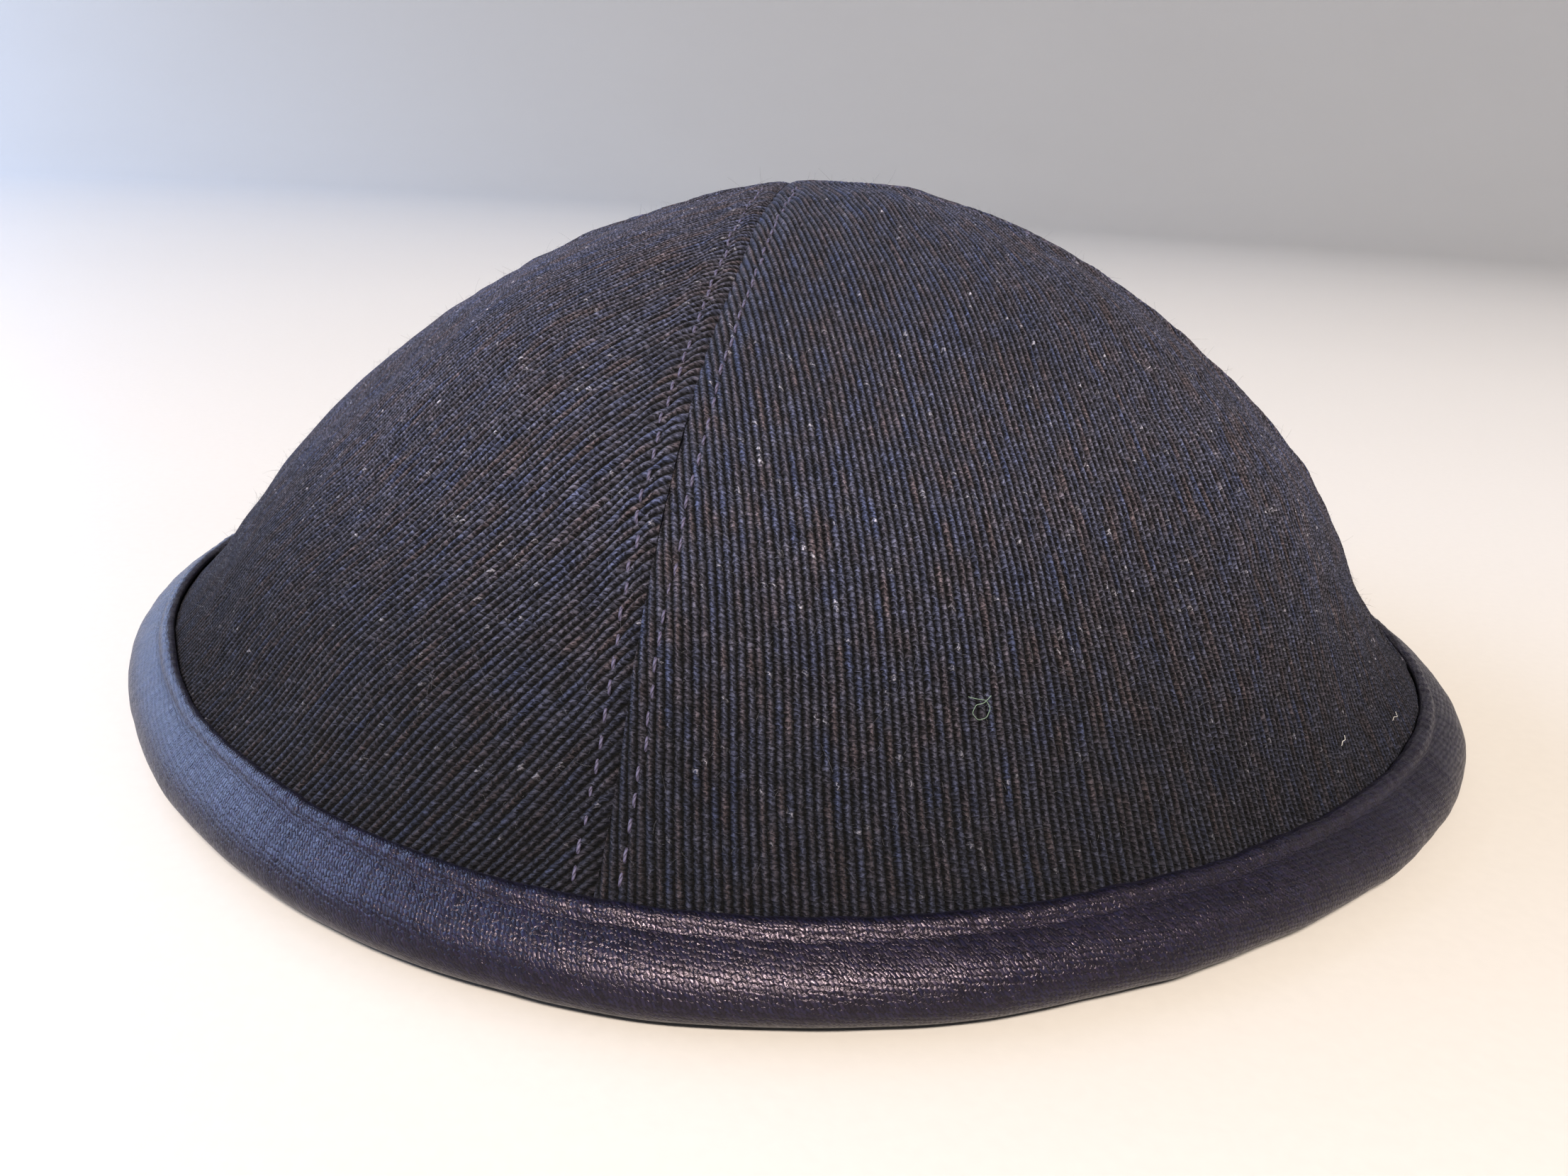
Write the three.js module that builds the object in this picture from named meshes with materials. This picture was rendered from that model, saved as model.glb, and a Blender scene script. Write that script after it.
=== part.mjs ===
// A four-gore cloth skullcap: ribbed suiting outside, stiff interlining, a thin lining, and a satin
// bias strip folded round the rim. It stands on its rim, crown up. Millimetres, +Z up, and the
// origin is on the surface that the rim rests on, under the middle of the rim.
import * as THREE from "three";
import { mergeVertices } from "three/addons/utils/BufferGeometryUtils.js";

// ---- Driving dimensions ----

// The dome's outer face, as a profile that runs from the crown (step 0) to the rim (step 1).
const DOME_RADIUS = 90.3;
const DOME_HEIGHT = 64.6;
const DOME_FOOT = 2; // height at step 1
const RADIUS_POWER = 1.178; // 1 is an ellipse, more draws the crown to a soft point
const HEIGHT_POWER = 1.365; // 1 is an ellipse, more leans the wall inwards

// Soft shape: the wall pulls in above the rim, and the crown and one side are pressed unevenly.
const WAIST = { depth: 5.5, height: 17.5, spread: 10.3 };
const SWELLS = [
  { rise: 2.4, azimuth: -10, height: 58, spreadAngle: 50, spreadHeight: 9 },
  { rise: -2.0, azimuth: -165, height: 56, spreadAngle: 50, spreadHeight: 10 },
  { rise: -3.6, azimuth: -165, height: 38, spreadAngle: 35, spreadHeight: 10 },
];
const SWELL_FADE_RADIUS = 15; // a swell fades out this close to the crown
const CROWN_SHIFT = -4; // the crown stands this far along X from the middle of the rim

// Four seams run from the crown to the rim, and the plan is a circle drawn out towards them.
const GORE_COUNT = 4;
const FIRST_SEAM = -100; // azimuth in degrees of the seam at the front
const SEAM_CORNER = 0.018; // part of the radius by which the rim reaches out at a seam
const SIDES = ["front", "right", "back", "left"];
const QUARTERS = ["front_right", "back_right", "back_left", "front_left"];

// Cloth layers, from the outside in, as depths below the dome's outer face.
const LAYERS = {
  outer: { top: 0, bottom: 1.2, across: 12, along: 12, colour: 0x34343d, roughness: 0.95 },
  interlining: { top: 1.45, bottom: 2.0, across: 12, along: 12, colour: 0xb9b4a6, roughness: 0.9 },
  lining: { top: 2.25, bottom: 2.7, across: 12, along: 12, colour: 0x1c2033, roughness: 0.6 },
};
const SEAM_GAP = 0.6; // between two gores, filled by the thread that joins them
const TIP_RADIUS = 1; // where a gore's tip ends, short of the crown
const EDGE_STEP = 0.955; // step of the gores' raw edges, inside the binding

// The satin strip round the rim.
const RIM_RADIUS = 90; // the widest part of the roll
const RIM_BULGE_HEIGHT = 3.3;
const LIP_STEP = 0.861; // step of the strip's folded edges
const CLEARANCE = 0.35; // between the strip and the cloth inside it
const LIP_THICKNESS = 0.8;
const LIP_WIDTH = 1.4; // from the folded edge down to the row of stitches
const GROOVE_DEPTH = 0.5; // how far the stitches pull the strip in
const OUTER_ROLL = [[86.4, 6.7], [RIM_RADIUS, 6.2], [RIM_RADIUS, RIM_BULGE_HEIGHT]];
const FOOT_CORNER = 89.2; // control radius of the curve from the roll to the foot
const FOOT_OUTER = 86.4; // the flat that the cap stands on, between these two radii
const FOOT_INNER = 84.4;
const INNER_ROLL = [[82.6, 0], [82.4, 3.4]];
const POCKET_STEPS = [0.885, 0.91, 0.935, 0.967]; // the strip's inner faces, from lip to fold
const SECTION_DIVISIONS = 5; // of each curve in the strip's section
const RIM_SEGMENTS = 60;

// Threads.
const THREAD_RADIUS = 0.17;
const THREAD_LIFT = 0.32; // a thread's middle above the cloth it lies on
const TOPSTITCH_OFFSET = 1.85; // from the seam to each row beside it
const TOPSTITCH_START_RADIUS = 6; // the rows end this close to the crown
const TOPSTITCH_END_STEP = 0.85;
const SEAM_THREAD_RADIUS = 2; // the threads in the seams end this close to the crown
const THREAD_STEPS = 14;
const THREAD_CURVE_SEGMENTS = 3;
const RING_THREAD_STEPS = 72;
const RING_OPENING = 1.5; // degrees between the two ends of a row that runs round the rim
const THREAD_COLOUR = 0x3d3557;
const THREAD_ROUGHNESS = 0.8;
const SATIN_COLOUR = 0x2b2c48;
const SATIN_ROUGHNESS = 0.4;

const PROFILE_DELTA = 0.001; // step each way for the profile's direction
const WELD_DISTANCE = 1e-4;

// ---- The dome's surface ----

const radians = THREE.MathUtils.degToRad;

/** Gaussian bump of height 1. */
function bump(distance, spread) {
  return Math.exp(-((distance / spread) ** 2) / 2);
}

/** Signed angle in degrees between two azimuths, from -180 to 180. */
function turnBetween(a, b) {
  return THREE.MathUtils.euclideanModulo(a - b + 180, 360) - 180;
}

/** Smooth profile of the dome at a step from crown to rim, as radius and height. */
function smoothProfile(step) {
  const angle = (step * Math.PI) / 2;
  const rise = DOME_HEIGHT - DOME_FOOT;
  return new THREE.Vector2(
    DOME_RADIUS * Math.sin(angle) ** RADIUS_POWER,
    DOME_FOOT + rise * Math.cos(angle) ** HEIGHT_POWER,
  );
}

/** Unit vector that points out of the dome at a step. */
function outwards(step) {
  const ahead = smoothProfile(step + PROFILE_DELTA);
  const along = ahead.sub(smoothProfile(step - PROFILE_DELTA)).normalize();
  return new THREE.Vector2(-along.y, along.x);
}

/** Step at which the smooth profile has a given radius. */
function stepAtRadius(radius) {
  return (2 / Math.PI) * Math.asin((radius / DOME_RADIUS) ** (1 / RADIUS_POWER));
}

/** Radius and height of the wall at a step, an azimuth and a depth below its outer face. */
function wall(step, depth, azimuth) {
  const point = smoothProfile(step);
  let rise = -WAIST.depth * bump(point.y - WAIST.height, WAIST.spread);
  const fade = Math.min(1, point.x / SWELL_FADE_RADIUS);
  for (const swell of SWELLS) {
    const turn = bump(turnBetween(azimuth, swell.azimuth), swell.spreadAngle);
    rise += swell.rise * fade * turn * bump(point.y - swell.height, swell.spreadHeight);
  }
  return point.addScaledVector(outwards(step), rise - depth);
}

/** Point in space for a radius and height at an azimuth, on the cap's slightly square plan. */
function place(radius, height, azimuth) {
  const share = radius / DOME_RADIUS;
  const corner = Math.cos(radians(GORE_COUNT * (azimuth - FIRST_SEAM)));
  const reach = radius * (1 + SEAM_CORNER * share * corner);
  const angle = radians(azimuth);
  const shift = CROWN_SHIFT * (1 - share);
  return new THREE.Vector3(reach * Math.cos(angle) + shift, reach * Math.sin(angle), height);
}

/** Point in space on the wall. */
function wallPoint(step, depth, azimuth) {
  const at = wall(step, depth, azimuth);
  return place(at.x, at.y, azimuth);
}

// ---- Making meshes ----

/** Moves every vertex of a closed geometry by a function, and keeps it closed. */
function reshape(geometry, move) {
  geometry.deleteAttribute("normal");
  geometry.deleteAttribute("uv");
  const position = geometry.getAttribute("position");
  const vertex = new THREE.Vector3();
  for (let i = 0; i < position.count; i += 1) {
    vertex.copy(move(vertex.fromBufferAttribute(position, i)));
    position.setXYZ(i, vertex.x, vertex.y, vertex.z);
  }
  const merged = mergeVertices(geometry, WELD_DISTANCE);
  merged.computeVertexNormals();
  return merged;
}

function material(colour, roughness) {
  return new THREE.MeshStandardMaterial({ color: colour, roughness, metalness: 0 });
}

const cap = new THREE.Group();

function addMesh(name, geometry, finish) {
  const mesh = new THREE.Mesh(geometry, finish);
  mesh.name = name;
  cap.add(mesh);
}

function addThread(name, geometry) {
  addMesh(name, geometry, material(THREAD_COLOUR, THREAD_ROUGHNESS));
}

/** Tube of thread along a list of points. */
function threadGeometry(points, steps) {
  const section = new THREE.Shape();
  section.absarc(0, 0, THREAD_RADIUS, 0, 2 * Math.PI);
  return new THREE.ExtrudeGeometry(section, {
    steps,
    curveSegments: THREAD_CURVE_SEGMENTS,
    bevelEnabled: false,
    extrudePath: new THREE.CatmullRomCurve3(points),
  });
}

// ---- Sub-parts ----

/** One quarter of one layer: a box bent over the dome, between two seams. */
function gore(layer, middle) {
  const tip = stepAtRadius(TIP_RADIUS);
  const box = new THREE.BoxGeometry(1, 1, 1, layer.across, layer.along, 1);
  return reshape(box, (corner) => {
    const step = THREE.MathUtils.lerp(EDGE_STEP, tip, corner.y + 0.5);
    const depth = corner.z > 0 ? layer.top : layer.bottom;
    const gapAngle = Math.asin(SEAM_GAP / 2 / smoothProfile(step).x);
    const width = 360 / GORE_COUNT - 2 * THREE.MathUtils.radToDeg(gapAngle);
    return wallPoint(step, depth, middle + corner.x * width);
  });
}

/** Thread that joins two gores of a layer, in the gap between them. */
function seamThread(layer, seam) {
  const depth = (layer.top + layer.bottom) / 2;
  const start = stepAtRadius(SEAM_THREAD_RADIUS);
  const points = [];
  for (let i = 0; i <= THREAD_STEPS; i += 1) {
    const step = THREE.MathUtils.lerp(start, EDGE_STEP, i / THREAD_STEPS);
    points.push(wallPoint(step, depth, seam));
  }
  return threadGeometry(points, THREAD_STEPS);
}

/** Row of topstitching on the outer face, to one side (-1 or 1) of a seam. */
function topstitch(seam, side) {
  const start = stepAtRadius(TOPSTITCH_START_RADIUS);
  const points = [];
  for (let i = 0; i <= THREAD_STEPS; i += 1) {
    const step = THREE.MathUtils.lerp(start, TOPSTITCH_END_STEP, i / THREAD_STEPS);
    const turn = Math.asin(TOPSTITCH_OFFSET / smoothProfile(step).x);
    points.push(wallPoint(step, -THREAD_LIFT, seam + side * THREE.MathUtils.radToDeg(turn)));
  }
  return threadGeometry(points, THREAD_STEPS);
}

// The binding's section uses the wall away from its swells, which don't reach down to the rim.
const CALM_AZIMUTH = 90;
const WALL_LENGTH_PER_STEP = 78; // near the rim
const lipFace = LIP_THICKNESS + CLEARANCE; // from the cloth to the strip's visible face
const liningFace = LAYERS.lining.bottom;

/** Place of a row of stitches on the strip: outside for side 1, inside for side -1. */
function groovePoint(side) {
  const step = LIP_STEP + LIP_WIDTH / WALL_LENGTH_PER_STEP;
  const face = lipFace - GROOVE_DEPTH;
  return wall(step, side > 0 ? -face : liningFace + face, CALM_AZIMUTH);
}

/** Closed section of the binding, as radius and height. */
function bindingSection() {
  const outerLip = wall(LIP_STEP, -lipFace, CALM_AZIMUTH);
  const innerLip = wall(LIP_STEP, liningFace + lipFace, CALM_AZIMUTH);
  const outerGroove = groovePoint(1);
  const innerGroove = groovePoint(-1);
  const path = new THREE.Path();
  path.moveTo(outerLip.x, outerLip.y);
  path.lineTo(outerGroove.x, outerGroove.y);
  path.bezierCurveTo(...OUTER_ROLL.flat());
  path.quadraticCurveTo(FOOT_CORNER, 0, FOOT_OUTER, 0);
  path.lineTo(FOOT_INNER, 0);
  path.bezierCurveTo(...INNER_ROLL.flat(), innerGroove.x, innerGroove.y);
  path.lineTo(innerLip.x, innerLip.y);
  const section = path.getPoints(SECTION_DIVISIONS);
  const pocketSteps = [LIP_STEP, ...POCKET_STEPS];
  for (const step of pocketSteps) {
    section.push(wall(step, liningFace + CLEARANCE, CALM_AZIMUTH));
  }
  for (const step of pocketSteps.toReversed()) {
    section.push(wall(step, -CLEARANCE, CALM_AZIMUTH));
  }
  section.push(section[0].clone());
  return section.reverse();
}

/** The strip round the rim: its section turned about the axis, then set on the cap's plan. */
function binding() {
  const ring = new THREE.LatheGeometry(bindingSection(), RIM_SEGMENTS);
  return reshape(ring, (corner) => {
    const turn = THREE.MathUtils.radToDeg(Math.atan2(corner.z, corner.x));
    return place(Math.hypot(corner.x, corner.z), corner.y, FIRST_SEAM - turn);
  });
}

/** Row of stitches round the rim, open at the back where the sewing starts and ends. */
function ringThread(side) {
  const at = groovePoint(side);
  const lift = outwards(LIP_STEP).multiplyScalar(side * THREAD_LIFT);
  at.add(lift);
  const backSeam = FIRST_SEAM + 180;
  const points = [];
  for (let i = 0; i <= RING_THREAD_STEPS; i += 1) {
    const turn = THREE.MathUtils.lerp(RING_OPENING, 360 - RING_OPENING, i / RING_THREAD_STEPS);
    points.push(place(at.x, at.y, backSeam + turn));
  }
  return threadGeometry(points, RING_THREAD_STEPS);
}

// ---- Assembly ----

for (const [index, quarter] of QUARTERS.entries()) {
  const middle = FIRST_SEAM + (index + 0.5) * (360 / GORE_COUNT);
  for (const [name, layer] of Object.entries(LAYERS)) {
    addMesh(`${name}_gore_${quarter}`, gore(layer, middle), material(layer.colour, layer.roughness));
  }
}

for (const [index, side] of SIDES.entries()) {
  const seam = FIRST_SEAM + index * (360 / GORE_COUNT);
  addThread(`outer_seam_thread_${side}`, seamThread(LAYERS.outer, seam));
  addThread(`lining_seam_thread_${side}`, seamThread(LAYERS.lining, seam));
  addThread(`topstitch_${side}_clockwise`, topstitch(seam, -1));
  addThread(`topstitch_${side}_anticlockwise`, topstitch(seam, 1));
}

addMesh("rim_binding", binding(), material(SATIN_COLOUR, SATIN_ROUGHNESS));
addThread("binding_stitch_outside", ringThread(1));
addThread("binding_stitch_inside", ringThread(-1));

export default cap;
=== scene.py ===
"""The looks of a four-gore cloth skullcap with a satin-bound rim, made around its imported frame."""
import math

import bpy
import numpy as np
from mathutils import Matrix, Vector


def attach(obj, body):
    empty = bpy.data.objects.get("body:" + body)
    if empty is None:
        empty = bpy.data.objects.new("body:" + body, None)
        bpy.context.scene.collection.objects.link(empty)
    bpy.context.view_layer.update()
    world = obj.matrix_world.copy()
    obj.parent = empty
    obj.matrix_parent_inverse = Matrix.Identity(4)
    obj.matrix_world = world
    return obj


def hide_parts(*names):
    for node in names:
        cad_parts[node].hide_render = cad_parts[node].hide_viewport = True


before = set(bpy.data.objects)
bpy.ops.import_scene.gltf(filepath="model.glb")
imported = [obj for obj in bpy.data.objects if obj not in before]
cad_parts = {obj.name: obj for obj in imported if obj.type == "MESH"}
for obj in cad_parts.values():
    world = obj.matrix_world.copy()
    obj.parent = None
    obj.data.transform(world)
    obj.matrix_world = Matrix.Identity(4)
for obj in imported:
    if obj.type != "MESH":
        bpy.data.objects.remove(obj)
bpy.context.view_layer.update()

MM = 0.001
SIDES = ("front", "right", "back", "left")
QUARTERS = ("front_right", "back_right", "back_left", "front_left")
SEAMS = len(SIDES)
FIRST_SEAM = -100.0
SEAM_TURN = 360 / SEAMS

# The cap's calm surface, as in the CAD: millimetres, with its foot at height 0.
DOME_RADIUS = 90.3
DOME_HEIGHT = 64.6
DOME_FOOT = 2.0
RADIUS_POWER = 1.178
HEIGHT_POWER = 1.365
WAIST = {"depth": 5.5, "height": 17.5, "spread": 10.3}
SWELLS = (
    {"rise": 2.4, "azimuth": -10, "height": 58, "around": 50, "upright": 9},
    {"rise": -2.0, "azimuth": -165, "height": 56, "around": 50, "upright": 10},
    {"rise": -3.6, "azimuth": -165, "height": 38, "around": 35, "upright": 10},
)
SWELL_FADE_RADIUS = 15.0
CROWN_SHIFT = -4.0
SEAM_CORNER = 0.018
TIP_STEP = 0.004
EDGE_STEP = 0.955
SLOPE_STEP = 0.001  # between the two points that give the profile's direction
TABLE_SIZE = 3000
WAVELENGTH_RANGE = (0.75, 1.4)  # of the waves in a ripple, as shares of its wavelength

# The ribs of the suiting, traced from the height where they are exactly a pitch apart.
RIB_PITCH = 0.79
RIB_SAMPLES = 5
RIB_HEIGHT = 0.36
RIB_ROUNDNESS = 2.2
RIB_UNEVENNESS = {"share": 0.15, "apart": 5.0}
RIB_BASE_HEIGHT = 24.0
RIB_TRACES = 2000
LEVEL_STEP = 0.5
LAST_LEVEL_MARGIN = 1.001  # keeps a place between two levels below the last one
ROWS = 108

# How far each gore's ribs lean from its centre line, and how the front ones bend: degrees, millimetres.
RIB_LEANS = (20.0, 14.0, 15.0, 17.0)
RIGHT_BEND = {"height": 24, "spread": 9.5, "all": 7, "middle": 15, "middle_width": 18}
LEFT_BENDS = ((16, 26, 6.5), (-20, 42, 6.5), (-12, 12, 4))  # bend, height, spread
LEFT_BEND_REACH = 11

# The relief of the suiting, below the CAD's outer face.
CLOTH_DEPTH = 0.72
ALLOWANCE = {"rise": 0.30, "width": 4.6, "slope": 1.6}
CREASE = {"depth": 0.62, "spread": 0.50, "power": 1.3}
CHANNEL = {"depth": 0.26, "spread": 0.42, "pull": 0.35}
DENTS = ((0.22, 27), (0.10, 11))  # depth, distance apart
PUCKER = {"depth": 0.10, "apart": 6.5, "reach": 4.5}
CALM_FOOT = {"start": 3, "width": 9}
CALM_CROWN = 20
STITCH_OFFSET = 1.85
FOLD_DEPTH = 1.36
FOLD_WIDTH = 1.5
DENT_SEED, DENT_SEED_STEP = 40, 10
RIB_SEED = 90

# The hidden layers: depths of both faces, wrinkle relief, gap to the seams, mesh columns and rows.
STIFFENER = {"depths": (1.5, 1.95), "relief": 0.0, "gap": 1.2, "grid": (90, 80)}
LINING = {"depths": (2.3, 2.62), "relief": 0.35, "gap": 0.15, "grid": (120, 110)}
WRINKLES = ((0.6, 17, 200), (0.4, 8, 300))  # share, distance apart, seed
LAYER_TOP = 0.992
LAYER_LEAST_HALF = 0.3
WRINKLE_FREE_SEAM = 4
WRINKLE_FREE_FOOT = 9

# Threads.
TOPSTITCH = {"pitch": 2.3, "length": 1.35, "radius": 0.16, "lift": 0.30, "sink": 0.28}
EDGE_STITCH = {"pitch": 2.2, "length": 1.45, "radius": 0.15, "lift": 0.22, "sink": 0.22}
JOIN_STITCH = {"pitch": 2.0, "length": 1.7, "radius": 0.09, "lift": 0.05, "sink": 0.02}
OUTER_JOIN_DEPTH = 1.40
LINING_JOIN_DEPTH = 2.12
JOIN_MARGIN = 6
THREAD_SIDES = 8
THREAD_RINGS = 11
THREAD_CAP = np.array([[0, 1, 2, 3], [0, 3, 4, 7], [4, 5, 6, 7]])  # an eight-sided end, as quads
STITCH_ARCH = 0.55
STITCH_WOBBLE = 0.05
STITCH_SINKING = 0.05
STITCH_THINNING = 0.25
STITCH_TIP = 0.3
STITCH_VARIATION = 0.06
STITCH_UV_SHIFT = 9
SEAM_STITCH_START = 8.0  # height along the wall where the topstitching comes out of the binding
SEAM_STITCH_END = 6.0  # radius where it stops at the crown
STITCH_SCATTER = {"along": 0.12, "across": 0.10}
EDGE_STITCH_SCATTER = 0.05  # degrees

# The satin binding.
EDGE_STITCHES = 257
STEPS_PER_STITCH = 8
BINDING_STEPS = EDGE_STITCHES * STEPS_PER_STITCH
SECTION_POINTS = 64
STRIP_LENGTH = 565.0
OUTER_GROOVE_SLOPE = (0.75, 0.66)
INNER_GROOVE_SLOPE = (-0.80, -0.60)
GROOVE = {"depth": 0.30, "beat": 0.025, "spread": 0.9}
LIP = {"key": 3.5, "beat": 0.04, "spread": 1.2, "slide_spread": 2.6}
UPPER_BAND = {"key": 9, "beat": 0.012, "spread": 1.5}
BEAT_VARIATION = 0.5
STRIP_RIPPLES = ((0.10, 19, 11), (0.025, 6, 12))  # height, distance apart, seed
DRAG = {"key": 10.5, "spread": 3, "height": 0.012, "lines": 78, "slant": 9, "sway": 2,
        "sway_apart": 40, "seed": 13}
SLIDES = ((0.16, 22, 14), (0.06, 4, 15))
SLIDE_IN, SLIDE_UP = 0.66, 0.75
RIPPLE_FOOT = 1.2  # height below which the strip lies calm on the table

# Loose wool fibres.
FUZZ_COUNT = 2200
FUZZ_BAND = (0.09, 0.985)  # shares of the gore's length
FUZZ_EDGE = 0.8
FUZZ_DEPTH = 0.45
FUZZ_TILTS = (18, 65)
FUZZ_LENGTH = {"mean": 0.55, "least": 0.45, "most": 2.8}
FUZZ_RADIUS = 0.013
FUZZ_CURL = 0.30
FUZZ_SAG = 0.25
FUZZ_TAPER = 0.6
FIBRE_RINGS, FIBRE_SIDES = 5, 3

# Stray threads on the front right gore: azimuth, step, points (across, up, lift) in mm, radius.
LINT = {
    "lint_green_curl": (-76.0, 0.685, [
        (-1.0, 1.4, 0), (-0.3, 1.1, 0.2), (0.6, 0.9, 0.3), (1.0, 0.2, 0.2), (0.6, -0.6, 0.1),
        (-0.3, -0.8, 0.2), (-0.9, -0.2, 0.4), (-0.5, 0.5, 0.5), (0.3, 0.6, 0.5), (1.2, 1.3, 0.3),
    ], 0.035),
    "lint_white_short": (-41.0, 0.80, [
        (-0.7, -0.3, 0), (-0.2, 0.1, 0.1), (0.3, 0.1, 0.2), (0.8, 0.5, 0.1),
    ], 0.04),
    "lint_white_long": (-30.0, 0.83, [
        (-1.2, 0.3, 0), (-0.4, 0.5, 0.1), (0.4, 0.2, 0.2), (1.2, 0.6, 0.1),
    ], 0.035),
}
LINT_SAMPLES = 12
LINT_SOFTENING = 6

# Base colours, linear.
SUITING_BLUE = (0.025, 0.030, 0.055)
SUITING_GREY = (0.030, 0.031, 0.044)
SUITING_BROWN = (0.037, 0.031, 0.036)
SUITING_SPECK = (0.13, 0.13, 0.15)
SATIN_NAVY = (0.0062, 0.0068, 0.0195)
SATIN_PLUM = (0.0090, 0.0072, 0.0175)
LINING_DARK = (0.013, 0.015, 0.036)
LINING_LIGHT = (0.022, 0.022, 0.045)
BUCKRAM_PALE = (0.50, 0.46, 0.38)
BUCKRAM_DARK = (0.42, 0.39, 0.33)
TOPSTITCH_LILAC = (0.082, 0.076, 0.128)
SEWING_NAVY = (0.022, 0.018, 0.042)
FUZZ_COLOURS = ((0.05, 0.055, 0.075), (0.14, 0.14, 0.16))
GREEN_LINT = ((0.10, 0.16, 0.12), (0.16, 0.22, 0.17))
WHITE_LINT = ((0.35, 0.35, 0.34), (0.50, 0.50, 0.48))
FLOOR_COLOURS = ((0.46, 0.451, 0.428), (0.48, 0.472, 0.448))

# The stage: a bowl of revolution in millimetres, and area lights in metres, as
# name, place, width and height, watts, colour.
BOWL = {"centre": 1.0, "flat": 1900.0, "bend": 1500.0, "top": 4200.0, "rows": 40, "around": 96}
LIGHTS = (
    ("window", (-2.5, 0.76, 1.20), (3.8, 1.9), 136, (0.46, 0.63, 0.98)),
    ("softbox", (0.08, -1.85, 2.10), (1.0, 0.24), 176, (1.0, 0.88, 0.78)),
    ("ceiling", (-0.30, 0.2, 2.8), (3.8, 3.8), 14, (1.0, 0.97, 0.95)),
    ("lamp", (1.05, -0.15, 0.62), (0.22, 0.22), 1.0, (1.0, 0.86, 0.74)),
)
LIGHT_TARGET = (0, 0, 0.03)
SKY_COLOUR = (0.86, 0.90, 1.0)
SKY_STRENGTH = 0.05
GAMMA = 0.85
CAMERA_PLACE = (0, -167.0, 65.8)
CAMERA_TURN = {"yaw": -0.467, "pitch": 19.526, "roll": 3.425}
CAMERA_LENS = 27.03
CAMERA_SENSOR = 36
CAMERA_CLIP = (0.005, 60)

rng = np.random.default_rng(7)


# ---------------------------------------------------------------- the surface

def bell(distance, spread):
    return np.exp(-((distance / spread) ** 2) / 2)


def unit(vectors):
    return vectors / np.linalg.norm(vectors, axis=-1, keepdims=True)


def smooth_profile(step):
    angle = np.asarray(step, float) * math.pi / 2
    radius = DOME_RADIUS * np.sin(angle) ** RADIUS_POWER
    height = DOME_FOOT + (DOME_HEIGHT - DOME_FOOT) * np.cos(angle) ** HEIGHT_POWER
    return np.stack([radius, height], -1)


def outwards(step):
    along = unit(smooth_profile(step + SLOPE_STEP) - smooth_profile(step - SLOPE_STEP))
    return np.stack([-along[..., 1], along[..., 0]], -1)


def wall(step, depth, azimuth, swells=SWELLS):
    """Radius and height of the wall at that step from the crown, depth below the face and azimuth."""
    values = (np.asarray(value, float) for value in (step, depth, azimuth))
    step, depth, azimuth = np.broadcast_arrays(*values)
    point = smooth_profile(step)
    rise = -WAIST["depth"] * bell(point[..., 1] - WAIST["height"], WAIST["spread"])
    for swell in swells:
        turn = (azimuth - swell["azimuth"] + 180) % 360 - 180
        share = np.minimum(1, point[..., 0] / SWELL_FADE_RADIUS)
        upright = bell(point[..., 1] - swell["height"], swell["upright"])
        rise = rise + swell["rise"] * share * bell(turn, swell["around"]) * upright
    return point + outwards(step) * (rise - depth)[..., None]


def place(radius, height, azimuth):
    """The point in millimetres of a radius and height at an azimuth in degrees."""
    share = radius / DOME_RADIUS
    angle = np.radians(azimuth)
    corner = np.cos(SEAMS * (angle - math.radians(FIRST_SEAM)))
    reach = radius * (1 + SEAM_CORNER * share * corner)
    x = reach * np.cos(angle) + CROWN_SHIFT * (1 - share)
    return np.stack(np.broadcast_arrays(x, reach * np.sin(angle), height), -1)


def wall_point(step, depth, azimuth):
    point = wall(step, depth, azimuth)
    return place(point[..., 0], point[..., 1], azimuth)


def ripple(points, wavelength, seed, waves=9):
    """Smooth noise of about -1 to 1, made of plane waves in seeded directions."""
    seeded = np.random.default_rng(seed)
    directions = unit(seeded.normal(size=(waves, 3)))
    lengths = wavelength * seeded.uniform(*WAVELENGTH_RANGE, waves)
    phases = seeded.uniform(0, 2 * math.pi, waves)
    angles = points @ (directions / lengths[:, None]).T * 2 * math.pi + phases
    return np.sin(angles).sum(-1) / math.sqrt(waves)


def ripples(points, kinds, shift=0):
    """The sum of ripples, given as (height, wavelength, seed) each."""
    return sum(height * ripple(points, apart, seed + shift) for height, apart, seed in kinds)


# ---------------------------------------------------------------- the flat gore

TABLE_STEP = np.linspace(EDGE_STEP, TIP_STEP, TABLE_SIZE)
TABLE_POINT = wall(TABLE_STEP, 0, 0, swells=())
TABLE_GAP = np.linalg.norm(np.diff(TABLE_POINT, axis=0), axis=1)
TABLE_UP = np.concatenate([[0], np.cumsum(TABLE_GAP)])
GORE_LENGTH = TABLE_UP[-1]
TABLE_HALF = TABLE_POINT[:, 0] * math.pi / SEAMS
TABLE_SLANT = np.cos(np.arctan(np.gradient(TABLE_HALF, TABLE_UP)))
GORE_WIDTH = 2 * TABLE_HALF.max()


def half_width(up):
    return np.interp(up, TABLE_UP, TABLE_HALF)


def seam_distance(x, up):
    return (half_width(up) - np.abs(x)) * np.interp(up, TABLE_UP, TABLE_SLANT)


def gore_middle(index):
    return FIRST_SEAM + SEAM_TURN * (index + 0.5)


def gore_point(x, up, depth, middle):
    """The point of the cap where the flat gore's point (x, up) lies, at a depth below the face."""
    step = np.interp(up, TABLE_UP, TABLE_STEP)
    radius = np.interp(up, TABLE_UP, TABLE_POINT[:, 0])
    return wall_point(step, depth, middle + np.degrees(x / radius))


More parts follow.
